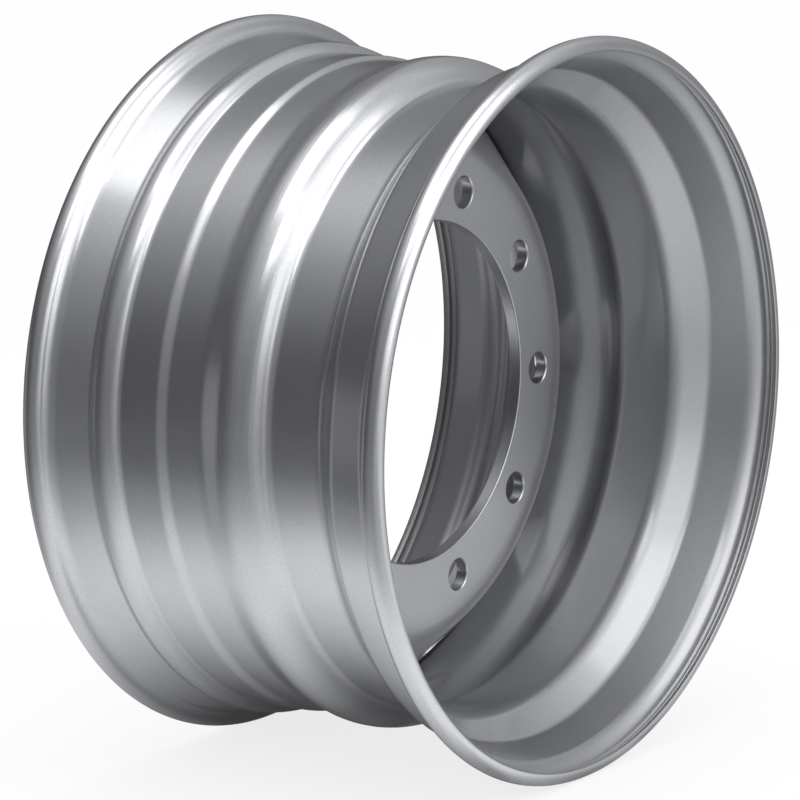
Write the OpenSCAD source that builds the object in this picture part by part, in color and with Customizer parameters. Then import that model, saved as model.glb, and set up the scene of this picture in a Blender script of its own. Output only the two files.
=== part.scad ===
// Steel disc wheel for a heavy trailer: a rolled drop-centre rim, a pressed wheel disc and the weld
// that joins them. The axle runs along Y, the nut side faces -Y, and +Z is up.
// Every outline is a list of [axial, radius] points, with axial 0 on the rim's middle plane.

/* [Rim] */
// Nominal rim diameter, where the bead seat line meets the flange plane
rim_d = 571.5; // [500:0.5:620]
// Width between the two flange planes
rim_w = 298.5; // [270:0.5:340]
// Thickness of the rolled rim strip
sheet = 5.5; // [4:0.1:6.5]
// Slope of the bead seats
seat_angle = 15; // [10:0.5:18]
// Axial length of the nut side bead seat, from the flange plane to its toe
seat_w = 37; // [30:0.5:45]
// Bend radius of the toe at the inner end of the nut side bead seat
toe_r = 16; // [8:0.5:18]
// Axial length of the hub side bead seat, from the flange plane to the foot of its hump
hub_seat_w = 32.5; // [28:0.5:38]
// Axial run from the hump's foot to the corner of its crest
hump_run = 14.75; // [12:0.25:18]
// Rise of the crest's corner over the hump's foot
hump_rise = 4.7; // [3:0.1:5.5]
// Bend radius of the hump's crest
hump_bend = 16; // [12:0.5:17]
// Bend radius of the hollows on both sides of the hump
hump_foot_bend = 5; // [4:0.5:6]

/* [Flange] */
// Height of the flange crest above the nominal rim diameter
flange_h = 12.7; // [11:0.1:15]
// Distance of the flange crest outside the flange plane
flange_reach = 12.6; // [11:0.1:16]
// Outer radius of the rolled lip
lip_r = 9.2; // [8:0.1:11]
// Angle that the lip is rolled on past its crest
lip_wrap = 120; // [60:5:130]
// Radius of the hollow between flange and bead seat
heel_r = 12; // [8:0.5:14]

/* [Drop centre] */
// Depth of the ledge that the wheel disc is welded under, below the nominal rim diameter
ledge_drop = 15.15; // [13:0.05:18]
// Axial run from the corner of the hump's crest to the ledge
ledge_run = 9.25; // [7:0.25:12]
// Axial length of the ledge
ledge_w = 37; // [32:0.5:42]
// Axial run of the step down from the ledge
step_run = 6.5; // [6:0.25:10]
// Drop of the step down from the ledge
step_drop = 3.5; // [2:0.1:4]
// Axial run of the rise from the step's floor to the corner of the shoulder's crest
rise_run = 38; // [32:0.5:44]
// Depth of the corner of the shoulder's crest below the nominal rim diameter
shoulder_drop = 6.6; // [5:0.1:9]
// Axial run from the well floor to the corner of the shoulder's crest
shoulder_run = 17.5; // [16:0.5:24]
// Bend radius of the shoulder and of the foot of its rise
shoulder_bend = 30; // [20:1:34]
// Depth of the well floor below the nominal rim diameter
well_drop = 30.75; // [27:0.25:36]
// Axial run from the nut side toe to the well floor
well_run = 22.25; // [18:0.25:30]
// Axial length of the well floor
well_w = 50; // [42:0.5:56]
// Bend radius of the step's corners and of the well's corner below the shoulder
well_bend = 8; // [6:0.5:9]
// Bend radius of the well's corner on the nut side
well_wall_bend = 16; // [8:0.5:18]

/* [Wheel disc] */
// Thickness of the flat that bolts to the hub
disc_t = 11; // [8:0.5:14]
// Thickness of the sloping wall
wall_t = 9; // [6:0.5:11]
// Thickness of the skirt that fits inside the rim
skirt_t = 7; // [5:0.5:9]
// Offset of the hub face from the rim's middle plane
hub_offset = 3; // [0:0.5:10]
// Width of the flat outside the stud circle, up to where it would meet the sloping wall
flat_margin = 38; // [32:0.5:42]
// Length of the skirt, from where it would meet the sloping wall to its edge
skirt_l = 27.75; // [22:0.25:28]
// Bend radius of the disc's front surface
disc_bend = 26; // [20:1:28]
// Distance of the skirt's edge from the end of the ledge
skirt_setback = 9; // [8.5:0.25:12]
// Clearance between the skirt and the rim, and round the weld
fit_gap = 0.1; // [0.05:0.05:0.3]
// Leg of the fillet weld along the skirt's edge
weld_leg = 6; // [4:0.5:6.5]
// Height of the weld's crown over the straight line between its legs
weld_crown = 0.7; // [0.2:0.1:1.5]

/* [Holes] */
// Diameter of the centre bore
bore_d = 281; // [270:0.5:290]
// Number of stud holes
stud_count = 10; // [8:1:10]
// Diameter of the stud circle
stud_circle_d = 335; // [330:0.5:340]
// Diameter of each stud hole
stud_hole_d = 26; // [22:0.5:28]
// Turn of the hole patterns about the axle, from the +X side
hole_turn = -1.5; // [-18:0.5:18]
// Number of hand holes in the sloping wall
hand_hole_count = 10; // [5:1:10]
// Diameter of each hand hole
hand_hole_d = 50; // [30:1:54]
// Chamfer round the centre bore and the stud holes
hole_chamfer = 1; // [0.5:0.1:1.5]
// Diameter of the valve hole in the well's nut side wall
valve_hole_d = 9.7; // [8:0.1:16]
// Place of the valve hole round the axle, from the +X side
valve_turn = 232.5; // [0:0.5:360]

/* [Hidden] */

// Steps in each bend of an outline
bend_steps = 8;
// Extra length that a cutter reaches past the surface that it cuts
through = 2;
// Facets of a full turn in the preview
$fn = 180;
silver = [0.62, 0.63, 0.65];
weld_grey = [0.55, 0.56, 0.58];

// Rim places that follow from the sizes above
flange_at = rim_w / 2;
toe_at = flange_at - seat_w;
toe_end_r = rim_d / 2 - seat_w * tan(seat_angle);
lip_centre = [flange_at + flange_reach, rim_d / 2 + flange_h - lip_r];
hump_foot = [flange_at - hub_seat_w, rim_d / 2 - hub_seat_w * tan(seat_angle)];
hump_crest = hump_foot + [-hump_run, hump_rise];
ledge_r = rim_d / 2 - ledge_drop;
ledge_from = hump_crest[0] - ledge_run;
ledge_to = ledge_from - ledge_w;
step_r = ledge_r - step_drop;
step_to = ledge_to - step_run;
well_r = rim_d / 2 - well_drop;
well_to = well_run - toe_at;
well_from = well_to + well_w;
shoulder_r = rim_d / 2 - shoulder_drop;
shoulder_at = well_from + shoulder_run;
rise_from = shoulder_at + rise_run;

// Disc places that follow from the sizes above
front_at = hub_offset - disc_t;
skirt_r = ledge_r - sheet - fit_gap;
skirt_edge_at = ledge_from - skirt_setback;
wall_foot_r = stud_circle_d / 2 + flat_margin;
wall_top_at = skirt_edge_at - skirt_l;
wall_angle = atan2(skirt_r - wall_foot_r, wall_top_at - front_at);

function unit(v) = v / norm(v);
function angle_of(v) = atan2(v[1], v[0]);
// The direction square to d, on the tyre side of an outline that runs towards -Y
function tyre_side(d) = [d[1], -d[0]];
function reversed(list) = [for (i = [len(list) - 1 : -1 : 0]) list[i]];

// An arc of points about a centre
function arc(centre, radius, from, to) =
    [for (i = [0 : bend_steps])
        let (a = from + (to - from) * i / bend_steps)
        centre + radius * [cos(a), sin(a)]];

// A bend of the strip, as the tyre side's arc and the bore side's arc about one centre
function bend(centre, outer_r, inner_r, from, to) =
    [arc(centre, outer_r, from, to), arc(centre, inner_r, from, to)];

// The bend that rounds the corner of an outline and keeps the strip's thickness
function corner_bend(before, corner, after, radius, thickness) =
    let (d1 = unit(corner - before),
         d2 = unit(after - corner),
         turn = atan2(d1[0] * d2[1] - d1[1] * d2[0], d1 * d2),
         side = turn < 0 ? 1 : -1,
         start = corner - radius * tan(abs(turn) / 2) * d1,
         inward = -side * tyre_side(d1),
         from = angle_of(inward))
    bend(start - radius * inward, radius, radius + side * thickness, from, from + turn);

// The same corner as one arc of a plain outline
function rounded(before, corner, after, radius) = corner_bend(before, corner, after, radius, 0)[0];

// The rolled lip and the hollow at its foot, on the +Y side
function flange_bends() =
    let (along = [cos(seat_angle), sin(seat_angle)],
         up = [-sin(seat_angle), cos(seat_angle)],
         w = [flange_at, rim_d / 2] + heel_r * up - lip_centre,
         reach = lip_r + heel_r,
         slide = -(w * along) - sqrt(pow(w * along, 2) - w * w + reach * reach),
         heel_centre = lip_centre + w + slide * along,
         facing = angle_of(heel_centre - lip_centre))
    [bend(lip_centre, lip_r, lip_r - sheet, 90 - lip_wrap, facing < 0 ? facing + 360 : facing),
     bend(heel_centre, heel_r, heel_r + sheet, angle_of(lip_centre - heel_centre), seat_angle - 90)];

// A list of bends mirrored to the -Y side
function mirrored(bends) =
    [for (b = reversed(bends)) [for (side = b) [for (p = reversed(side)) [-p[0], p[1]]]]];

// The bends of the rim's middle, from the hub side hump to the nut side toe
function centre_bends() =
    let (heel = [flange_at, rim_d / 2],
         corners = [heel,
                    hump_foot,
                    hump_crest,
                    [ledge_from, ledge_r],
                    [ledge_to, ledge_r],
                    [step_to, step_r],
                    [rise_from, step_r],
                    [shoulder_at, shoulder_r],
                    [well_from, well_r],
                    [well_to, well_r],
                    [-toe_at, toe_end_r],
                    [-heel[0], heel[1]]],
         radii = [hump_foot_bend, hump_bend, hump_foot_bend, well_bend, well_bend, shoulder_bend,
                  shoulder_bend, well_bend, well_wall_bend, toe_r])
    [for (i = [0 : len(radii) - 1])
        corner_bend(corners[i], corners[i + 1], corners[i + 2], radii[i], sheet)];

// The closed section of a bent strip
function strip_section(bends) =
    concat([for (b = bends) each b[0]], reversed([for (b = bends) each b[1]]));

// The wheel disc's section: front surface outwards, then back surface inwards
function disc_section() =
    let (foot = [front_at, wall_foot_r],
         top = [wall_top_at, skirt_r],
         // The wall's back surface lies wall_t behind its front, along this normal
         back = wall_t * [sin(wall_angle), -cos(wall_angle)],
         along = [cos(wall_angle), sin(wall_angle)],
         back_foot = foot + back + along * (hub_offset - foot[0] - back[0]) / along[0],
         back_top = foot + back + along * (skirt_r - skirt_t - foot[1] - back[1]) / along[1],
         bore_r = bore_d / 2,
         front_bore = [front_at, bore_r],
         edge = [skirt_edge_at, skirt_r],
         back_edge = [skirt_edge_at, skirt_r - skirt_t],
         back_bore = [hub_offset, bore_r],
         inner_bend = disc_bend - wall_t)
    concat([[front_at + hole_chamfer, bore_r], [front_at, bore_r + hole_chamfer]],
           rounded(front_bore, foot, top, disc_bend),
           rounded(foot, top, edge, disc_bend),
           [edge, back_edge],
           rounded(back_edge, back_top, back_foot, disc_bend),
           rounded(back_top, back_foot, back_bore, inner_bend),
           [[hub_offset, bore_r + hole_chamfer], [hub_offset - hole_chamfer, bore_r]]);

// The fillet weld's section, in the corner between the skirt's edge and the ledge
function weld_section() =
    let (root = [skirt_edge_at + fit_gap, ledge_r - sheet - fit_gap],
         crown = root + weld_leg / 2 * [1, -1] + weld_crown * unit([1, -1]))
    [root, root + [weld_leg, 0], crown, root - [0, weld_leg]];

// Turns a section about the axle
module turned(section) {
    rotate([-90, 0, 0])
        rotate_extrude()
            polygon([for (p = section) [p[1], p[0]]]);
}

// Puts a feature at an angle about the axle, with its +X pointing outwards and its +Z along the axle
module at_turn(angle) {
    rotate([0, -angle, 0])
        rotate([-90, 0, 0])
            children();
}

// A stud hole through the flat, chamfered on both sides
module stud_hole() {
    r = stud_hole_d / 2;
    mouth_r = r + hole_chamfer + through;
    translate([stud_circle_d / 2, 0, 0])
        rotate_extrude()
            polygon([[0, front_at - through],
                     [mouth_r, front_at - through],
                     [r, front_at + hole_chamfer],
                     [r, hub_offset - hole_chamfer],
                     [mouth_r, hub_offset + through],
                     [0, hub_offset + through]]);
}

// A hand hole square to the sloping wall, at the wall's middle
module hand_hole() {
    reach = wall_t + disc_bend;
    translate([(wall_foot_r + skirt_r) / 2, 0, (front_at + wall_top_at) / 2])
        rotate([0, 90 + wall_angle, 0])
            translate([0, 0, -reach])
                cylinder(h = 2 * reach, d = hand_hole_d);
}

// The valve hole square to the well's nut side wall
module valve_hole() {
    slope = atan2(toe_end_r - well_r, well_to + toe_at);
    translate([(toe_end_r + well_r) / 2, 0, (well_to - toe_at) / 2])
        rotate([0, 90 - slope, 0])
            translate([0, 0, -2 * sheet])
                cylinder(h = 4 * sheet, d = valve_hole_d);
}

module rim() {
    side = flange_bends();
    color(silver)
        difference() {
            turned(strip_section(concat(side, centre_bends(), mirrored(side))));
            at_turn(valve_turn) valve_hole();
        }
}

module wheel_disc() {
    color(silver)
        difference() {
            turned(disc_section());
            for (i = [0 : stud_count - 1])
                at_turn(hole_turn + i * 360 / stud_count) stud_hole();
            for (i = [0 : hand_hole_count - 1])
                at_turn(hole_turn + i * 360 / hand_hole_count) hand_hole();
        }
}

module weld_bead() {
    color(weld_grey) turned(weld_section());
}

rim();
wheel_disc();
weld_bead();
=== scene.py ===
"""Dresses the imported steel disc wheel: a rolled drop-centre rim, a pressed disc and the weld between them.

The axle runs along Y, the nut side faces -Y and +Z is up. Sizes are in millimetres, as in the part's source.
An outline is a list of (axial, radius) points, with axial 0 on the rim's middle plane.
"""
import math
from dataclasses import dataclass

import bmesh
import bpy
import numpy as np
from mathutils import Matrix, Vector


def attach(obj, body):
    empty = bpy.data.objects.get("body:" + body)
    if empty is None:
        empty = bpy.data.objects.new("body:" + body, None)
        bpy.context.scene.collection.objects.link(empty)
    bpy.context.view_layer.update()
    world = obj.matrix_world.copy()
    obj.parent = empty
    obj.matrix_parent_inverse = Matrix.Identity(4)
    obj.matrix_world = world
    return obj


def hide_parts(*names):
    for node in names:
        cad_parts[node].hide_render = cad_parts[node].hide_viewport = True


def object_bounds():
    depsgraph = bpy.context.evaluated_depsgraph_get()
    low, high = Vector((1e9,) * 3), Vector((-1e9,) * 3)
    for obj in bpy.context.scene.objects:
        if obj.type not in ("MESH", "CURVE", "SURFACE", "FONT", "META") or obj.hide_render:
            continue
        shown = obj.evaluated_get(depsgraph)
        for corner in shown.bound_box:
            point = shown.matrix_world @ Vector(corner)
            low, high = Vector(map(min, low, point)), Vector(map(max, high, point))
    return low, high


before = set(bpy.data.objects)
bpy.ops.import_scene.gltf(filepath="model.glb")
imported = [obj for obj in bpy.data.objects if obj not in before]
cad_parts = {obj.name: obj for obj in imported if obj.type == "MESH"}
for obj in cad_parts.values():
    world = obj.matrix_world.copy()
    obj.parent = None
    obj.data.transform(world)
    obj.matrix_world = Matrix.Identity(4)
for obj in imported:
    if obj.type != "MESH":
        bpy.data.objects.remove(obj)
cad_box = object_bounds()
scene = bpy.context.scene

MM = 0.001
FULL_TURN = 2 * math.pi

# Rim sizes
RIM_D = 571.5
RIM_W = 298.5
SHEET = 5.5
SEAT_ANGLE = math.radians(15)
SEAT_W = 37
TOE_R = 16
HUB_SEAT_W = 32.5
HUMP_RUN = 14.75
HUMP_RISE = 4.7
HUMP_BEND = 16
HUMP_FOOT_BEND = 5
FLANGE_H = 12.7
FLANGE_REACH = 12.6
LIP_R = 9.2
LIP_WRAP = math.radians(120)
HEEL_R = 12
LEDGE_DROP = 15.15
LEDGE_RUN = 9.25
LEDGE_W = 37
STEP_RUN = 6.5
STEP_DROP = 3.5
RISE_RUN = 38
SHOULDER_DROP = 6.6
SHOULDER_RUN = 17.5
SHOULDER_BEND = 30
WELL_DROP = 30.75
WELL_RUN = 22.25
WELL_W = 50
WELL_BEND = 8
WELL_WALL_BEND = 16

# Wheel disc and weld sizes
DISC_T = 11
WALL_T = 9
SKIRT_T = 7
HUB_OFFSET = 3
FLAT_MARGIN = 38
SKIRT_L = 27.75
DISC_BEND = 26
SKIRT_SETBACK = 9
FIT_GAP = 0.1
WELD_LEG = 6
WELD_CROWN = 0.7
WELD_PITCH = 3.2
WELD_RIPPLE = 0.35
WELD_EDGE_RIPPLE = 0.3
WELD_SWEEP = 0.5
WELD_SHARPNESS = 0.6
WELD_COLUMNS = 5
WELD_ROWS = 8

# Hole sizes
BORE_D = 281
STUD_COUNT = 10
STUD_CIRCLE_D = 335
STUD_HOLE_D = 26
HOLE_TURN = math.radians(-1.5)
HAND_HOLE_D = 50
HOLE_CHAMFER = 1
VALVE_HOLE_D = 9.7
VALVE_TURN = math.radians(232.5)

# Places that follow from the sizes above
FLANGE_AT = RIM_W / 2
TOE_AT = FLANGE_AT - SEAT_W
TOE_END_R = RIM_D / 2 - SEAT_W * math.tan(SEAT_ANGLE)
HUMP_FOOT_AT = FLANGE_AT - HUB_SEAT_W
HUMP_FOOT_R = RIM_D / 2 - HUB_SEAT_W * math.tan(SEAT_ANGLE)
HUMP_AT = HUMP_FOOT_AT - HUMP_RUN
LEDGE_R = RIM_D / 2 - LEDGE_DROP
LEDGE_FROM = HUMP_AT - LEDGE_RUN
LEDGE_TO = LEDGE_FROM - LEDGE_W
STEP_R = LEDGE_R - STEP_DROP
STEP_TO = LEDGE_TO - STEP_RUN
WELL_R = RIM_D / 2 - WELL_DROP
WELL_TO = WELL_RUN - TOE_AT
WELL_FROM = WELL_TO + WELL_W
SHOULDER_R = RIM_D / 2 - SHOULDER_DROP
SHOULDER_AT = WELL_FROM + SHOULDER_RUN
RISE_FROM = SHOULDER_AT + RISE_RUN
FRONT_AT = HUB_OFFSET - DISC_T
SKIRT_R = LEDGE_R - SHEET - FIT_GAP
SKIRT_EDGE_AT = LEDGE_FROM - SKIRT_SETBACK
WALL_FOOT_R = STUD_CIRCLE_D / 2 + FLAT_MARGIN
WALL_TOP_AT = SKIRT_EDGE_AT - SKIRT_L

# Mesh fineness
SECTORS = 10
SECTOR_TURN = FULL_TURN / SECTORS
RIM_COLUMNS = 30
DISC_COLUMNS = 40
BEND_STEP = math.radians(11)
BEND_CHORD = 4
EDGE_SUPPORT = 1.2
RUN_STEP = 14
HOLE_RUN_STEP = 2.6
END_ROUND = 1.5
END_STEPS = 8
MERGE_REACH = 0.01
RING_SHARES = (0.3, 0.6, 0.85)

# Rows along the disc's outline, and how far the patches reach round its holes
EDGE_ROWS = 1
RUN_ROWS = 3
SKIRT_ROWS = 6
STUD_ROWS = 12
STUD_PATCH = 18
HAND_ROWS = 16
HAND_PATCH = 33

# Columns from the middle of a hole's patch to its side
VALVE_HOLE_COLUMNS = 4
STUD_HOLE_COLUMNS = 7
HAND_HOLE_COLUMNS = 9

# Edges of the holes, as pairs of extra radius and depth below the face
VALVE_HOLE_EDGE = [(2, 0), (0.8, 0), (0.25, 0.15), (0.05, 0.5), (0, 1)]
STUD_HOLE_EDGE = [(HOLE_CHAMFER + 1.2, 0), (HOLE_CHAMFER + 0.3, 0), (HOLE_CHAMFER, 0.06),
                  (HOLE_CHAMFER - 0.2, 0.22), (0.2, HOLE_CHAMFER - 0.18), (0.05, HOLE_CHAMFER + 0.1),
                  (0, HOLE_CHAMFER + 0.5)]
HAND_HOLE_EDGE = [(1.6, 0), (0.9, 0), (0.45, 0.12), (0.12, 0.45), (0, 0.9), (0, 1.6)]

# An eased corner between two faces, as shares of the chamfer outwards and across
EASED_CORNER = ((0.25, 0.04), (0.6, 0.16), (0.84, 0.4), (0.96, 0.75), (1, 1), (1, 1.6))


# Outlines


def direction(angle):
    """The unit vector at an angle in the plane of the outlines."""
    return Vector((math.cos(angle), math.sin(angle)))


def angle_of(vector):
    """The angle of a vector in the plane of the outlines."""
    return math.atan2(vector.y, vector.x)


def tyre_side(along):
    """The direction square to an outline, on the tyre side of one that runs towards -Y."""
    return Vector((along.y, -along.x))


def arc(centre, radius, start, end, steps):
    """Points along an arc."""
    return [centre + radius * direction(angle) for angle in np.linspace(start, end, steps + 1)]


def bend(centre, outer_r, inner_r, start, end):
    """A bend of the strip: its tyre side's arc and its bore side's arc about one centre."""
    turn = abs(end - start)
    by_chord = turn * max(outer_r, inner_r) / BEND_CHORD
    steps = max(2, math.ceil(max(turn / BEND_STEP, by_chord)))
    return arc(centre, outer_r, start, end, steps), arc(centre, inner_r, start, end, steps)


def corner_bend(before, corner, after, radius, thickness):
    """The bend that rounds a corner of an outline and keeps the strip's thickness."""
    arriving = (corner - before).normalized()
    leaving = (after - corner).normalized()
    turn = math.atan2(arriving.x * leaving.y - arriving.y * leaving.x, arriving.dot(leaving))
    side = 1 if turn < 0 else -1
    start = corner - radius * math.tan(abs(turn) / 2) * arriving
    inward = -side * tyre_side(arriving)
    first = angle_of(inward)
    return bend(start - radius * inward, radius, radius + side * thickness, first, first + turn)


def rounded(before, corner, after, radius):
    """A rounded corner of a plain outline."""
    return corner_bend(before, corner, after, radius, 0)[0]


def flange_bends():
    """The rolled lip and the hollow at its foot, on the +Y side."""
    lip_centre = Vector((FLANGE_AT + FLANGE_REACH, RIM_D / 2 + FLANGE_H - LIP_R))
    along = direction(SEAT_ANGLE)
    up = direction(SEAT_ANGLE + math.pi / 2)
    across = Vector((FLANGE_AT, RIM_D / 2)) + HEEL_R * up - lip_centre
    on_seat = across.dot(along)
    slide = -on_seat - math.sqrt(on_seat ** 2 - across.length_squared + (LIP_R + HEEL_R) ** 2)
    heel_centre = lip_centre + across + slide * along
    facing = angle_of(heel_centre - lip_centre) % FULL_TURN
    # The rounded end of the sheet takes up the last of the lip's wrap
    lip_end = math.pi / 2 - LIP_WRAP + END_ROUND / (LIP_R - SHEET / 2)
    return [bend(lip_centre, LIP_R, LIP_R - SHEET, lip_end, facing),
            bend(heel_centre, HEEL_R, HEEL_R + SHEET, facing - math.pi, SEAT_ANGLE - math.pi / 2)]


def mirrored(bends):
    """A list of bends mirrored to the -Y side."""
    return [tuple([Vector((-p.x, p.y)) for p in reversed(side)] for side in pair) for pair in reversed(bends)]


def centre_bends():
    """The bends of the rim's middle, from the hub side hump to the nut side toe."""
    corners = [Vector(corner) for corner in ((FLANGE_AT, RIM_D / 2),
                                             (HUMP_FOOT_AT, HUMP_FOOT_R),
                                             (HUMP_AT, HUMP_FOOT_R + HUMP_RISE),
                                             (LEDGE_FROM, LEDGE_R),
                                             (LEDGE_TO, LEDGE_R),
                                             (STEP_TO, STEP_R),
                                             (RISE_FROM, STEP_R),
                                             (SHOULDER_AT, SHOULDER_R),
                                             (WELL_FROM, WELL_R),
                                             (WELL_TO, WELL_R),
                                             (-TOE_AT, TOE_END_R),
                                             (-FLANGE_AT, RIM_D / 2))]
    radii = [HUMP_FOOT_BEND, HUMP_BEND, HUMP_FOOT_BEND, WELL_BEND, WELL_BEND, SHOULDER_BEND,
             SHOULDER_BEND, WELL_BEND, WELL_WALL_BEND, TOE_R]
    return [corner_bend(*corners[i:i + 3], radius, SHEET) for i, radius in enumerate(radii)]


def filled(points, fine_at=None):
    """The points of an outline, with more along its straight runs, closest along the run at fine_at."""
    rows = [points[0]]
    for here, there in zip(points, points[1:]):
        run = (there - here).length
        if run > 3 * EDGE_SUPPORT:
            fine = fine_at is not None and (here.lerp(there, 0.5) - fine_at).length < run / 2
            count = math.ceil((run - 2 * EDGE_SUPPORT) / (HOLE_RUN_STEP if fine else RUN_STEP))
            for reach in np.linspace(EDGE_SUPPORT, run - EDGE_SUPPORT, count + 1):
                rows.append(here.lerp(there, reach / run))
        rows.append(there)
    return rows


def sheet_end(here, there, outward):
    """The rounded end of a sheet, between its two sides."""
    middle = (here + there) / 2
    half = (here - there) / 2
    points = []
    for angle in np.linspace(0, math.pi, END_STEPS + 1)[1:-1]:
        across = math.copysign(math.sqrt(abs(math.cos(angle))), math.cos(angle))
        points.append(middle + across * half + END_ROUND * math.sqrt(math.sin(angle)) * outward)
    return points


# Sectors of turned pieces, with their holes


@dataclass
class Hole:
    """A round hole square to a turned wall, at the middle of a sector.

    Each of its two faces is the first and the last of the sector's rows that its patch takes up."""
    middle: Vector
    along: Vector
    through: Vector
    radius: float
    edge: list
    faces: list
    columns: int


def place(axial, radius, turn):
    """The point of a turned surface at an angle about the axle, in metres."""
    return Vector((radius * math.cos(turn), axial, radius * math.sin(turn))) * MM


def face_points(rows, face):
    """A face's rows as an array, in the direction of the hole's along."""
    first, last = face
    step = 1 if last > first else -1
    return np.array([rows[i % len(rows)][:] for i in range(first, last + step, step)])


def on_surface(points, hole, along, across):
    """The point of a turned surface at these offsets from a hole's middle, in the sector's own directions."""
    outward = np.sqrt(points[:, 1] ** 2 - across ** 2)
    offsets = (points[:, 0] - hole.middle.x) * hole.along.x + (outward - hole.middle.y) * hole.along.y
    return Vector((np.interp(along, offsets, outward), np.interp(along, offsets, points[:, 0]), across))


def hole_rings(rows, columns, hole, face, inwards):
    """The border of a hole's patch as grid places, and the places of the rings from there into the hole."""
    points = face_points(rows, face)
    first, last = face
    step = 1 if last > first else -1
    left = (len(columns) - 1) // 2 - hole.columns
    right = left + 2 * hole.columns
    up = list(range(first, last + step, step))
    over = list(range(left, right + 1))
    border = ([(i, left) for i in up[:-1]] + [(last, j) for j in over[:-1]]
              + [(i, right) for i in up[:0:-1]] + [(first, j) for j in over[:0:-1]])
    offsets = []
    for i, j in border:
        axial, radius = rows[i % len(rows)]
        outward = radius * math.cos(columns[j])
        along = (axial - hole.middle.x) * hole.along.x + (outward - hole.middle.y) * hole.along.y
        offsets.append(Vector((along, radius * math.sin(columns[j]))))
    start = angle_of(offsets[0])
    spokes = [direction(start + FULL_TURN * k / len(border)) for k in range(len(border))]
    widest = hole.radius + hole.edge[0][0]
    rings = []
    for share in RING_SHARES:
        rings.append([on_surface(points, hole, *offset.lerp(widest * spoke, share))
                      for offset, spoke in zip(offsets, spokes)])
    sink = Vector((hole.through.y, hole.through.x, 0)) * inwards
    for extra, depth in hole.edge:
        reach = hole.radius + extra
        rings.append([on_surface(points, hole, *(reach * spoke)) + depth * sink for spoke in spokes])
    return border, rings


def sector(name, rows, columns, holes=()):
    """One sector of a turned piece, as a mesh: a grid of rows by columns, with patches round its holes."""
    mesh = bmesh.new()
    grid = {}

    def corner(i, j):
        key = (i % len(rows), j)
        if key not in grid:
            grid[key] = mesh.verts.new(place(*rows[key[0]], columns[j]))
        return grid[key]

    middle = (len(columns) - 1) // 2
    open_cells = set()
    for hole in holes:
        for first, last in hole.faces:
            for i in range(min(first, last), max(first, last)):
                open_cells.update((i, j) for j in range(middle - hole.columns, middle + hole.columns))
    for i in range(len(rows)):
        for j in range(len(columns) - 1):
            if (i, j) not in open_cells:
                mesh.faces.new((corner(i, j), corner(i, j + 1), corner(i + 1, j + 1), corner(i + 1, j)))
    for hole in holes:
        loops = []
        for face, inwards in zip(hole.faces, (1, -1)):
            border, rings = hole_rings(rows, columns, hole, face, inwards)
            side = [[corner(i, j) for i, j in border]]
            side += [[mesh.verts.new(point * MM) for point in ring] for ring in rings]
            loops += side if inwards > 0 else side[::-1]
        for outer, inner in zip(loops, loops[1:]):
            for k in range(len(outer)):
                following = (k + 1) % len(outer)
                mesh.faces.new((outer[k], inner[k], inner[following], outer[following]))
    made = bpy.data.meshes.new(name)
    mesh.to_mesh(made)
    mesh.free()
    return made


def sector_columns(count):
    """The angles of a sector's columns about its middle."""
    return np.linspace(-SECTOR_TURN / 2, SECTOR_TURN / 2, count + 1)


# Rim


def rim_sectors():
    """The rim's plain sector, and the one with the valve hole in the well's nut side wall."""
    side = flange_bends()
    bends = side + centre_bends() + mirrored(side)
    wall_foot = Vector((WELL_TO, WELL_R))
    wall_top = Vector((-TOE_AT, TOE_END_R))
    along = (wall_top - wall_foot).normalized()
    through = -tyre_side(along)
    middle = (wall_foot + wall_top) / 2
    tyre_rows = filled([p for outer, inner in bends for p in outer], middle)
    bore_rows = filled([p for outer, inner in bends for p in inner], middle + SHEET * through)[::-1]
    ends = []
    for here, there in ((tyre_rows[-1], bore_rows[0]), (bore_rows[-1], tyre_rows[0])):
        ends.append(sheet_end(here, there, tyre_side((here - there).normalized())))
    rows = tyre_rows + ends[0] + bore_rows + ends[1]
    plain = sector("rim_sector", rows, sector_columns(RIM_COLUMNS))

    half = VALVE_HOLE_COLUMNS
    on_tyre_side = min(range(len(tyre_rows)), key=lambda i: (rows[i] - middle).length)
    on_bore_side = min(range(len(rows)), key=lambda i: (rows[i] - middle - SHEET * through).length)
    faces = [(on_tyre_side - half, on_tyre_side + half), (on_bore_side + half, on_bore_side - half)]
    hole = Hole(middle, along, through, VALVE_HOLE_D / 2, VALVE_HOLE_EDGE, faces, half)
    near = HOLE_RUN_STEP * half / middle.y
    columns = np.concatenate([np.linspace(-SECTOR_TURN / 2, -near, RIM_COLUMNS // 2),
                              np.linspace(-near, near, 2 * half + 1)[1:-1],
                              np.linspace(near, SECTOR_TURN / 2, RIM_COLUMNS // 2)])
    return plain, sector("rim_valve_sector", rows, columns, [hole])


# Wheel disc


def lengths_along(points):
    """The length of an outline from its first point to each of its points."""
    return np.concatenate([[0], np.cumsum([(b - a).length for a, b in zip(points, points[1:])])])


def spaced(points, stops):
    """Rows along an outline. Each stop is a length along it and how many rows lead up to it."""
    lengths = lengths_along(points)
    table = np.array([p[:] for p in points])
    marks = [0.0]
    for reach, count in stops:
        marks += list(np.linspace(marks[-1], min(reach, lengths[-1]), count + 1)[1:])
    return [Vector((np.interp(m, lengths, table[:, 0]), np.interp(m, lengths, table[:, 1]))) for m in marks]


def length_to(points, middle, along):
    """The length along an outline at which it passes a hole's middle."""
    offsets = [(p - middle).dot(along) for p in points]
    return float(np.interp(0, offsets, lengths_along(points)))


def eased_edge(here, there, outward):
    """The edge between two faces, with both corners eased: out by the chamfer, across, and back."""
    across = (there - here).normalized()
    points = [here + HOLE_CHAMFER * (out * outward + over * across) for out, over in EASED_CORNER]
    points += [there + HOLE_CHAMFER * (out * outward - over * across) for out, over in reversed(EASED_CORNER)]
    return points


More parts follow.
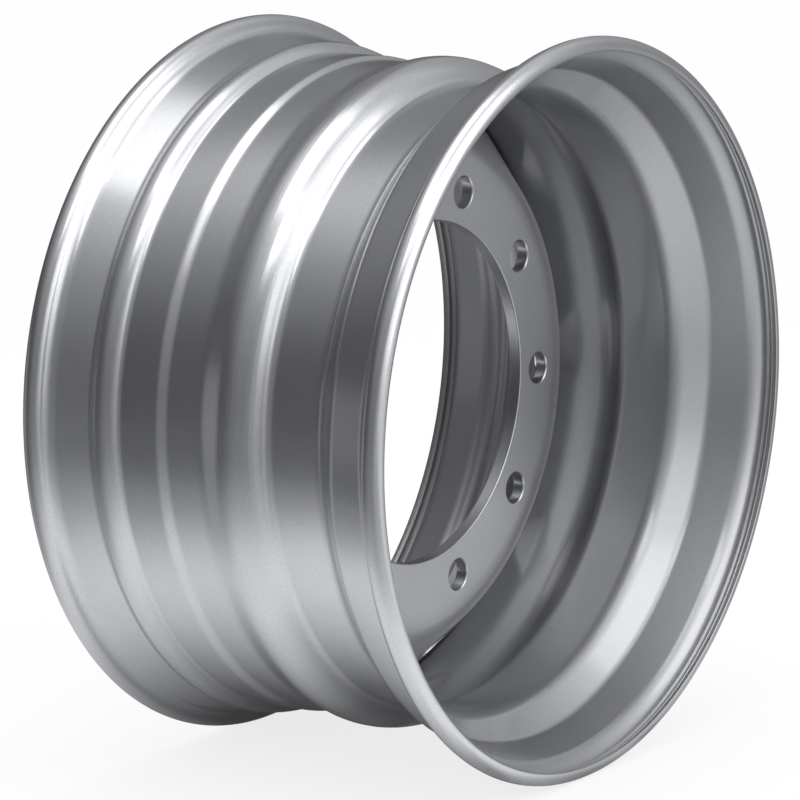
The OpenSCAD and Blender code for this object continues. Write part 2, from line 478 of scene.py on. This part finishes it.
def disc_sector():
    """One sector of the disc, with its stud hole in the flat and its hand hole in the sloping wall."""
    foot = Vector((FRONT_AT, WALL_FOOT_R))
    top = Vector((WALL_TOP_AT, SKIRT_R))
    along = (top - foot).normalized()
    through = tyre_side(along)
    back_line = foot + WALL_T * through
    back_foot = back_line + along * (HUB_OFFSET - back_line.x) / along.x
    back_top = back_line + along * (SKIRT_R - SKIRT_T - back_line.y) / along.y
    bore_r = BORE_D / 2
    front_bore = Vector((FRONT_AT, bore_r + HOLE_CHAMFER))
    back_bore = Vector((HUB_OFFSET, bore_r + HOLE_CHAMFER))
    edge = Vector((SKIRT_EDGE_AT - HOLE_CHAMFER, SKIRT_R))
    back_edge = Vector((SKIRT_EDGE_AT - HOLE_CHAMFER, SKIRT_R - SKIRT_T))
    front = ([front_bore] + rounded(front_bore, foot, top, DISC_BEND)
             + rounded(foot, top, edge, DISC_BEND) + [edge])
    back = ([back_bore] + rounded(back_bore, back_foot, back_top, DISC_BEND - WALL_T)
            + rounded(back_foot, back_top, back_edge, DISC_BEND) + [back_edge])

    stud_middle = Vector((FRONT_AT, STUD_CIRCLE_D / 2))
    hand_middle = (foot + top) / 2
    outward = Vector((0, 1))
    sides = []
    for points in (back, front):
        stud_at = length_to(points, stud_middle, outward)
        hand_at = length_to(points, hand_middle, along)
        whole = lengths_along(points)[-1]
        sides.append(spaced(points, [(EDGE_SUPPORT / 2, EDGE_ROWS),
                                     (stud_at - STUD_PATCH, RUN_ROWS),
                                     (stud_at + STUD_PATCH, STUD_ROWS),
                                     (hand_at - HAND_PATCH, RUN_ROWS),
                                     (hand_at + HAND_PATCH, HAND_ROWS),
                                     (whole - EDGE_SUPPORT / 2, SKIRT_ROWS),
                                     (whole, EDGE_ROWS)]))
    back_rows, front_rows = sides
    skirt_end = eased_edge(back_edge, edge, Vector((1, 0)))
    bore_end = eased_edge(front_bore, back_bore, -outward)
    rows = back_rows + skirt_end + front_rows[::-1] + bore_end
    last_front = len(back_rows) + len(skirt_end) + len(front_rows) - 1
    first_stud = EDGE_ROWS + RUN_ROWS
    first_hand = first_stud + STUD_ROWS + RUN_ROWS
    stud_faces, hand_faces = [[(first, last), (last_front - first, last_front - last)]
                              for first, last in ((first_stud, first_stud + STUD_ROWS),
                                                  (first_hand, first_hand + HAND_ROWS))]
    stud_hole = Hole(Vector((HUB_OFFSET, stud_middle.y)), outward, Vector((-1, 0)),
                     STUD_HOLE_D / 2, STUD_HOLE_EDGE, stud_faces, STUD_HOLE_COLUMNS)
    hand_hole = Hole(hand_middle, along, -through, HAND_HOLE_D / 2, HAND_HOLE_EDGE, hand_faces,
                     HAND_HOLE_COLUMNS)
    return sector("disc_sector", rows, sector_columns(DISC_COLUMNS), [stud_hole, hand_hole])


# Weld


def weld_ripple():
    """One ripple of the weld between the skirt's edge and the ledge, as a mesh, and how many go round."""
    root = Vector((SKIRT_EDGE_AT, LEDGE_R - SHEET))
    count = round(FULL_TURN * SKIRT_R / WELD_PITCH)
    mesh = bmesh.new()
    grid = []
    for share in np.linspace(0, 1, WELD_COLUMNS + 1):
        line = [mesh.verts.new(place(*root, (share - 0.5) * FULL_TURN / count))]
        for over in np.linspace(0, 1, WELD_ROWS):
            crown = math.sin(math.pi * over)
            # Each ripple is a crescent that trails at its middle and rises to its leading edge
            phase = (share + WELD_SWEEP * crown) % 1
            wave = math.sin(math.pi * phase) ** WELD_SHARPNESS
            lift = WELD_CROWN * crown + WELD_RIPPLE * (crown + WELD_EDGE_RIPPLE) * wave
            point = root + WELD_LEG * Vector((over, over - 1)) + lift * Vector((1, -1)).normalized()
            line.append(mesh.verts.new(place(*point, (share - 0.5) * FULL_TURN / count)))
        grid.append(line)
    for here, there in zip(grid, grid[1:]):
        for k in range(len(here)):
            following = (k + 1) % len(here)
            mesh.faces.new((here[k], here[following], there[following], there[k]))
    made = bpy.data.meshes.new("weld_ripple")
    mesh.to_mesh(made)
    mesh.free()
    return made, count


# Geometry Nodes: what repeats about the axle

BORE_SIDE = "bore_side"
SIDE_BLEND = 0.3


def wired(tree, kind, values=None, links=None, **settings):
    """A node of a tree, with its settings, its fixed values and what is linked to its inputs."""
    node = tree.nodes.new(kind)
    for name, value in settings.items():
        setattr(node, name, value)
    for key, value in (values or {}).items():
        node.inputs[key].default_value = value
    for key, socket in (links or {}).items():
        tree.links.new(socket, node.inputs[key])
    return node


def bore_side_of(tree):
    """How far a point of a turned piece faces the axle, from 0 where it faces outwards to 1."""
    position = tree.nodes.new("GeometryNodeInputPosition").outputs["Position"]
    normal = tree.nodes.new("GeometryNodeInputNormal").outputs["Normal"]
    flat = wired(tree, "ShaderNodeVectorMath", {1: (1, 0, 1)}, {0: position}, operation="MULTIPLY")
    outward = wired(tree, "ShaderNodeVectorMath", links={0: flat.outputs[0]}, operation="NORMALIZE")
    facing = wired(tree, "ShaderNodeVectorMath", links={0: outward.outputs[0], 1: normal},
                   operation="DOT_PRODUCT")
    side = wired(tree, "ShaderNodeMapRange", {"From Min": SIDE_BLEND, "From Max": -SIDE_BLEND},
                 {"Value": facing.outputs["Value"]})
    return side.outputs[0]


def repeat_about_axle():
    """The tree that sets copies of a sector about the axle, with an odd one first if it is given one.

    It also stores on each point how far it faces the axle, for the paint's roughness, coat and painted shade."""
    tree = bpy.data.node_groups.new("repeat_about_axle", "GeometryNodeTree")
    sockets = {"Sector": "Geometry", "Odd Sector": "Object", "Odd Count": "Int", "Count": "Int",
               "First Turn": "Float", "Merge Reach": "Float", "Paint": "Material"}
    for name, kind in sockets.items():
        tree.interface.new_socket(name, in_out="INPUT", socket_type="NodeSocket" + kind)
    tree.interface.new_socket("Piece", in_out="OUTPUT", socket_type="NodeSocketGeometry")
    given = tree.nodes.new("NodeGroupInput").outputs
    points = wired(tree, "GeometryNodePoints", links={"Count": given["Count"]})
    index = tree.nodes.new("GeometryNodeInputIndex").outputs["Index"]
    share = wired(tree, "ShaderNodeMath", {0: FULL_TURN}, {1: given["Count"]}, operation="DIVIDE")
    turn = wired(tree, "ShaderNodeMath", links={0: index, 1: share.outputs[0], 2: given["First Turn"]},
                 operation="MULTIPLY_ADD")
    spin = wired(tree, "FunctionNodeAxisAngleToRotation", {"Axis": (0, -1, 0)}, {"Angle": turn.outputs[0]})
    plain = wired(tree, "GeometryNodeGeometryToInstance", links={"Geometry": given["Sector"]})
    odd = wired(tree, "GeometryNodeObjectInfo", links={"Object": given["Odd Sector"]})
    odd_copy = wired(tree, "GeometryNodeGeometryToInstance", links={"Geometry": odd.outputs["Geometry"]})
    choice = tree.nodes.new("GeometryNodeJoinGeometry")
    tree.links.new(odd_copy.outputs[0], choice.inputs[0])
    tree.links.new(plain.outputs[0], choice.inputs[0])
    is_odd = wired(tree, "FunctionNodeCompare", links={2: index, 3: given["Odd Count"]},
                   data_type="INT", operation="LESS_THAN")
    copies = wired(tree, "GeometryNodeInstanceOnPoints", {"Pick Instance": True},
                   {"Points": points.outputs[0], "Instance": choice.outputs[0],
                    "Instance Index": is_odd.outputs[0], "Rotation": spin.outputs[0]})
    whole = wired(tree, "GeometryNodeRealizeInstances", links={"Geometry": copies.outputs[0]})
    merged = wired(tree, "GeometryNodeMergeByDistance",
                   links={"Geometry": whole.outputs[0], "Distance": given["Merge Reach"]})
    smooth = wired(tree, "GeometryNodeSetShadeSmooth", links={"Geometry": merged.outputs[0]})
    marked = wired(tree, "GeometryNodeStoreNamedAttribute", {"Name": BORE_SIDE},
                   {"Geometry": smooth.outputs[0], "Value": bore_side_of(tree)},
                   data_type="FLOAT", domain="POINT")
    painted = wired(tree, "GeometryNodeSetMaterial",
                    links={"Geometry": marked.outputs[0], "Material": given["Paint"]})
    tree.links.new(painted.outputs[0], tree.nodes.new("NodeGroupOutput").inputs["Piece"])
    return tree


def made_piece(name, node, tree, sector_mesh, **values):
    """A plain mesh piece from a tree, in the place of a node of the frame."""
    piece = bpy.data.objects.new(name, sector_mesh)
    scene.collection.objects.link(piece)
    modifier = piece.modifiers.new(tree.name, "NODES")
    modifier.node_group = tree
    for socket in tree.interface.items_tree:
        key = socket.name.lower().replace(" ", "_")
        if key in values:
            modifier[socket.identifier] = values[key]
    depsgraph = bpy.context.evaluated_depsgraph_get()
    mesh = bpy.data.meshes.new_from_object(piece.evaluated_get(depsgraph), depsgraph=depsgraph)
    piece.modifiers.clear()
    piece.data = mesh
    mesh.name = name
    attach(piece, "root")
    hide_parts(node)


# Finishes


def shader_group(name, inputs, outputs):
    """A shader node group with its sockets, and its input and output nodes."""
    group = bpy.data.node_groups.new(name, "ShaderNodeTree")
    for socket, value in inputs.items():
        made = group.interface.new_socket(socket, in_out="INPUT", socket_type="NodeSocketFloat")
        made.default_value = value
    for socket, kind in outputs.items():
        group.interface.new_socket(socket, in_out="OUTPUT", socket_type="NodeSocket" + kind)
    return group, group.nodes.new("NodeGroupInput").outputs, group.nodes.new("NodeGroupOutput").inputs


def sprayed_paint():
    """Sprayed metallic paint: cloudy tone, fine flake, and the dimpled skin that the spray leaves."""
    group, given, result = shader_group(
        "sprayed_paint", {"Cloud Scale": 9.0, "Flake Scale": 1800.0, "Dimple Scale": 420.0},
        {"Cloud": "Float", "Flake": "Float", "Dimple": "Float"})
    coordinates = wired(group, "ShaderNodeTexCoord").outputs["Object"]
    for socket, scale, detail in (("Cloud", "Cloud Scale", 4), ("Dimple", "Dimple Scale", 2)):
        noise = wired(group, "ShaderNodeTexNoise", {"Detail": detail, "Roughness": 0.55},
                      {"Vector": coordinates, "Scale": given[scale]})
        group.links.new(noise.outputs["Fac"], result[socket])
    flake = wired(group, "ShaderNodeTexVoronoi", {"Randomness": 1.0},
                  {"Vector": coordinates, "Scale": given["Flake Scale"]}, feature="F1")
    tint = wired(group, "ShaderNodeSeparateColor", links={"Color": flake.outputs["Color"]})
    group.links.new(tint.outputs["Red"], result["Flake"])
    return group


SILVER = (0.543, 0.547, 0.56)
DARK_FLAKE = 0.9
LIGHT_FLAKE = 1.08
FLAKE_SHARE = 0.65
CLOUD_GLOSS = 0.06
OUTER_COAT = 0.1


def by_side(tree, side, outer, bore):
    """A value that goes from outer on a piece's outward faces to bore on those that face the axle."""
    return wired(tree, "ShaderNodeMapRange", {"To Min": outer, "To Max": bore}, {"Value": side}).outputs[0]


def silver_paint(name, spray, dimple_height, roughness, bore_roughness, bore_painted_shade, bore_coat):
    """Silver paint over steel, with its own roughness and coat on the faces towards the axle, and its colour
    darkened there as painted shade.
    """
    paint = bpy.data.materials.new(name)
    paint.use_nodes = True
    tree = paint.node_tree
    shader = tree.nodes["Principled BSDF"]
    shader.inputs["Metallic"].default_value = 0.985
    shader.inputs["Coat Roughness"].default_value = 0.14
    shader.inputs["Coat IOR"].default_value = 1.8
    skin = tree.nodes.new("ShaderNodeGroup")
    skin.node_tree = spray
    side = wired(tree, "ShaderNodeAttribute", attribute_name=BORE_SIDE).outputs["Fac"]
    mixed = wired(tree, "ShaderNodeMath", {1: FLAKE_SHARE},
                  {0: skin.outputs["Flake"], 2: skin.outputs["Cloud"]}, operation="MULTIPLY_ADD")
    shade = wired(tree, "ShaderNodeMapRange", {"From Min": 0.3, "From Max": 1.2},
                  {"Value": mixed.outputs[0]})
    colour = wired(tree, "ShaderNodeValToRGB", links={"Fac": shade.outputs[0]})
    dark, light = colour.color_ramp.elements
    dark.color = (*[DARK_FLAKE * c for c in SILVER], 1)
    light.color = (*[LIGHT_FLAKE * c for c in SILVER], 1)
    # Painted shade: the colour is darkened on the faces towards the axle, for the dark inside of the wheel.
    painted_shade_colour = wired(tree, "ShaderNodeVectorMath",
                  links={0: colour.outputs["Color"], "Scale": by_side(tree, side, 1.0, bore_painted_shade)},
                  operation="SCALE")
    tree.links.new(painted_shade_colour.outputs[0], shader.inputs["Base Color"])
    tree.links.new(by_side(tree, side, OUTER_COAT, bore_coat), shader.inputs["Coat Weight"])
    # The clouds vary the gloss evenly about the roughness that is asked for
    least = by_side(tree, side, roughness - CLOUD_GLOSS / 2, bore_roughness - CLOUD_GLOSS / 2)
    gloss = wired(tree, "ShaderNodeMath", {1: CLOUD_GLOSS}, {0: skin.outputs["Cloud"], 2: least},
                  operation="MULTIPLY_ADD")
    tree.links.new(gloss.outputs[0], shader.inputs["Roughness"])
    bump = wired(tree, "ShaderNodeBump", {"Strength": 0.25, "Distance": dimple_height * MM},
                 {"Height": skin.outputs["Dimple"]})
    tree.links.new(bump.outputs["Normal"], shader.inputs["Normal"])
    return paint


spray = sprayed_paint()
# Each paint's colour is darkened on the faces towards the axle by the given factor, as painted shade.
rim_paint = silver_paint("silver_paint", spray, dimple_height=0.05, roughness=0.23,
                         bore_roughness=0.5, bore_painted_shade=0.69, bore_coat=1.0)
disc_paint = silver_paint("silver_paint_on_pressing", spray, dimple_height=0.05, roughness=0.5,
                          bore_roughness=0.22, bore_painted_shade=0.75, bore_coat=OUTER_COAT)
weld_paint = silver_paint("silver_paint_on_weld", spray, dimple_height=0.2, roughness=0.36,
                          bore_roughness=0.45, bore_painted_shade=0.8, bore_coat=OUTER_COAT)

repeat = repeat_about_axle()
plain_sector, valve_sector = rim_sectors()
odd_sector = bpy.data.objects.new("rim_valve_sector", valve_sector)
made_piece("rolled_rim", "rim", repeat, plain_sector, odd_sector=odd_sector, odd_count=1, count=SECTORS,
           first_turn=VALVE_TURN, merge_reach=MERGE_REACH * MM, paint=rim_paint)
made_piece("pressed_disc", "wheel_disc", repeat, disc_sector(), odd_count=0, count=STUD_COUNT,
           first_turn=HOLE_TURN, merge_reach=MERGE_REACH * MM, paint=disc_paint)
ripple, ripple_count = weld_ripple()
made_piece("fillet_weld", "weld_bead", repeat, ripple, odd_count=0, count=ripple_count,
           first_turn=0.0, merge_reach=MERGE_REACH * MM, paint=weld_paint)
bpy.data.objects.remove(odd_sector)


# Studio

FLOOR_Z = cad_box[0].z
FLOOR_HALF = 8.0
FLOOR_WHITE = 0.95
CAMERA_WHITE = 0.8
SHEET_LIFT = 0.002
WALL_RADIUS = 3.0
WALL_DARK = 0.115
WALL_BRIGHTEST = 1.7
# Painted shadow on the reflected floor under the wheel: its darkest share, the half length of the contact,
# and where it fades out.
PAINTED_CONTACT_SHADOW = 0.08
CONTACT_HALF = 0.12
CONTACT_SHADOW_FADE = (0.05, 0.32)
NUT_SIDE_SHADOW_FADE = (0.165, 0.225)
AZIMUTHS = np.linspace(30, 390, 91)
ELEVATIONS = np.linspace(-6, 86, 47)
FLOOR_RADII = (0.02, 0.1, 0.16, 0.22, 0.3, 0.36, 0.42, 0.48, 0.54, 0.6, 0.66, 0.74, 0.85, 1.0, 1.3, 2.98)


def floor_material(name):
    """A matt floor that the camera sees nearer to white, with the shadow kept."""
    material = bpy.data.materials.new(name)
    material.use_nodes = True
    tree = material.node_tree
    shader = tree.nodes["Principled BSDF"]
    shader.inputs["Base Color"].default_value = (FLOOR_WHITE, FLOOR_WHITE, FLOOR_WHITE, 1)
    shader.inputs["Roughness"].default_value = 0.9
    path = wired(tree, "ShaderNodeLightPath")
    share = wired(tree, "ShaderNodeMath", {1: CAMERA_WHITE}, {0: path.outputs["Is Camera Ray"]},
                  operation="MULTIPLY")
    white = wired(tree, "ShaderNodeEmission", {"Color": (1, 1, 1, 1), "Strength": 1.0})
    mixed = wired(tree, "ShaderNodeMixShader",
                  links={0: share.outputs[0], 1: shader.outputs[0], 2: white.outputs[0]})
    tree.links.new(mixed.outputs[0], tree.nodes["Material Output"].inputs["Surface"])
    return material


def graded_material(name):
    """A stage material that glows by the grade stored on its mesh."""
    material = bpy.data.materials.new(name)
    material.use_nodes = True
    tree = material.node_tree
    tree.nodes.remove(tree.nodes["Principled BSDF"])
    grade = wired(tree, "ShaderNodeAttribute", attribute_name="grade")
    glow = wired(tree, "ShaderNodeEmission", {"Color": (0.97, 0.98, 1, 1)},
                 {"Strength": grade.outputs["Fac"]})
    tree.links.new(glow.outputs[0], tree.nodes["Material Output"].inputs["Surface"])
    return material


def eased(value, low, high):
    """A smooth rise from 0 at low to 1 at high."""
    share = min(1, max(0, (value - low) / (high - low)))
    return share * share * (3 - 2 * share)


def graded_sheet(name, point, grade, across, along, material):
    """A curved studio sheet that only reflections show, with a grade of grey over it."""
    corners = [point(u, v) for u in across for v in along]
    line = len(along)
    faces = [(i * line + j, (i + 1) * line + j, (i + 1) * line + j + 1, i * line + j + 1)
             for i in range(len(across) - 1) for j in range(line - 1)]
    mesh = bpy.data.meshes.new(name)
    mesh.from_pydata(corners, [], faces)
    mesh.materials.append(material)
    shades = mesh.attributes.new("grade", "FLOAT", "POINT")
    shades.data.foreach_set("value", [grade(u, v) for u in across for v in along])
    sheet = bpy.data.objects.new(name, mesh)
    scene.collection.objects.link(sheet)
    sheet.visible_camera = False
    sheet.visible_diffuse = False
    sheet.visible_shadow = False


def wall_point(azimuth, elevation):
    """A point of the domed wall, from its angles in degrees."""
    a = math.radians(azimuth)
    e = math.radians(elevation)
    return WALL_RADIUS * Vector((math.cos(e) * math.cos(a), math.cos(e) * math.sin(a), math.sin(e)))


def wall_grade(azimuth, elevation):
    """The wall is dark low down behind and to the left, and pale overhead and on the nut side.

    A pale strip lies low on the hub side, and a bright patch high above the camera."""
    low = WALL_DARK + 0.14 * eased(azimuth, 142, 190) + 0.3 * eased(azimuth, 205, 245)
    low += 0.4 * eased(azimuth, 236, 258)
    low -= 0.65 * eased(azimuth, 300, 330)
    strip = eased(azimuth, 84, 106) - eased(azimuth, 118, 128)
    low += 0.2 * strip * (1 - eased(elevation, 3, 6))
    behind = 1 - eased(azimuth, 45, 110) + eased(azimuth, 345, 390)
    low += 0.17 * behind * eased(elevation, 12, 30)
    tilt = elevation + 5 * eased(azimuth, 140, 172) + 8 * eased(azimuth, 290, 315) - 28 * behind
    pale = 0.3 * eased(tilt, 12, 46) + 0.7 * eased(tilt, 36, 66)
    pale *= 1 - 0.3 * eased(azimuth, 296, 316) * (1 - eased(elevation, 60, 75))
    box = eased(azimuth, 227, 247) - eased(azimuth, 298, 310)
    low += 1.9 * box * eased(elevation, 2, 26) * (1 - eased(elevation, 56, 66))
    low = min(low, WALL_BRIGHTEST)
    patch = eased(azimuth, 192, 206) - eased(azimuth, 230, 242)
    patch *= eased(elevation, 38, 45) - eased(elevation, 55, 62)
    return low + (1 - min(low, 1)) * pale + 2.4 * patch


def floor_point(azimuth, radius):
    """A point just above the floor, from its angle in degrees and its distance."""
    a = math.radians(azimuth)
    return Vector((radius * math.cos(a), radius * math.sin(a), FLOOR_Z + SHEET_LIFT))


def floor_grade(azimuth, radius):
    """The floor is dim behind the wheel, pale to the left and on the nut side, and dark far off, with a
    painted shadow under the wheel.
    """
    nut_side = eased(azimuth, 195, 265) * (1 - eased(azimuth, 290, 330))
    near = 0.2 + 0.8 * eased(azimuth, 20, 125) + 0.1 * eased(azimuth, 148, 185) + 0.25 * nut_side
    near -= 0.45 * eased(azimuth, 285, 330) + 0.35 * eased(azimuth, 345, 385)
    far = min(wall_grade(azimuth, 0) + 0.04, 0.5 + 0.5 * nut_side * eased(azimuth, 248, 275))
    out = radius + 0.04 - 0.08 * eased(azimuth, 136, 166)
    away = 0.65 * eased(out, 0.36, 0.66) + 0.35 * eased(out, 0.55, 1.1)
    # Painted shadow: the grade is darkened along the wheel's line of contact and fades out away from it and
    # towards the nut side.
    spot = floor_point(azimuth, radius)
    reach = math.hypot(spot.x, max(abs(spot.y) - CONTACT_HALF, 0))
    outside_painted_shadow = max(eased(reach, *CONTACT_SHADOW_FADE), eased(-spot.y, *NUT_SIDE_SHADOW_FADE))
    return (near + (far - near) * away) * (PAINTED_CONTACT_SHADOW + (1 - PAINTED_CONTACT_SHADOW) * outside_painted_shadow)


floor_mesh = bpy.data.meshes.new("floor")
floor_corners = [(x * FLOOR_HALF, y * FLOOR_HALF, FLOOR_Z) for x, y in ((-1, -1), (1, -1), (1, 1), (-1, 1))]
floor_mesh.from_pydata(floor_corners, [], [(0, 1, 2, 3)])
floor_mesh.materials.append(floor_material("white_floor"))
floor = bpy.data.objects.new("floor", floor_mesh)
scene.collection.objects.link(floor)

graded = graded_material("graded_grey")
graded_sheet("domed_wall", wall_point, wall_grade, AZIMUTHS, ELEVATIONS, graded)
graded_sheet("graded_floor", floor_point, floor_grade, AZIMUTHS, FLOOR_RADII, graded)

world = bpy.data.worlds.new("studio")
scene.world = world
world.use_nodes = True
background = world.node_tree.nodes["Background"]
background.inputs["Color"].default_value = (1, 1, 1, 1)
background.inputs["Strength"].default_value = 1.0


def soft_box(name, place_at, aim, width, height, power):
    """A rectangular soft light."""
    data = bpy.data.lights.new(name, "AREA")
    data.shape = "RECTANGLE"
    data.size = width
    data.size_y = height
    data.energy = power
    lamp = bpy.data.objects.new(name, data)
    lamp.location = place_at
    lamp.rotation_euler = (Vector(aim) - Vector(place_at)).to_track_quat("-Z", "Y").to_euler()
    scene.collection.objects.link(lamp)


soft_box("overhead", (-0.35, 0.0, 2.1), aim=(-0.1, 0, 0), width=1.34, height=1.6, power=9)
soft_box("nut_side", (0.3, -1.95, 1.05), aim=(0, 0, 0), width=1.5, height=1.9, power=10)

# Camera, at the photograph's viewing angle
VIEW_AZIMUTH = math.radians(-55.07)
VIEW_ELEVATION = math.radians(10.55)
VIEW_ROLL = math.radians(-0.13)
VIEW_DISTANCE = 3.37435
VIEW_LENS = 186.34
VIEW_SENSOR = 36
VIEW_SHIFT = (-0.02126, -0.01038)

back = Vector((math.sin(VIEW_AZIMUTH) * math.cos(VIEW_ELEVATION),
               -math.cos(VIEW_AZIMUTH) * math.cos(VIEW_ELEVATION),
               math.sin(VIEW_ELEVATION)))
level_right = Vector((math.cos(VIEW_AZIMUTH), math.sin(VIEW_AZIMUTH), 0))
level_up = back.cross(level_right)
right = math.cos(VIEW_ROLL) * level_right + math.sin(VIEW_ROLL) * level_up
lens = bpy.data.cameras.new("camera")
lens.lens = VIEW_LENS
lens.sensor_width = VIEW_SENSOR
lens.shift_x, lens.shift_y = VIEW_SHIFT
camera = bpy.data.objects.new("camera", lens)
camera.matrix_world = Matrix((right, back.cross(right), back)).transposed().to_4x4()
camera.location = back * VIEW_DISTANCE
scene.collection.objects.link(camera)
scene.camera = camera
scene.view_settings.view_transform = "Standard"
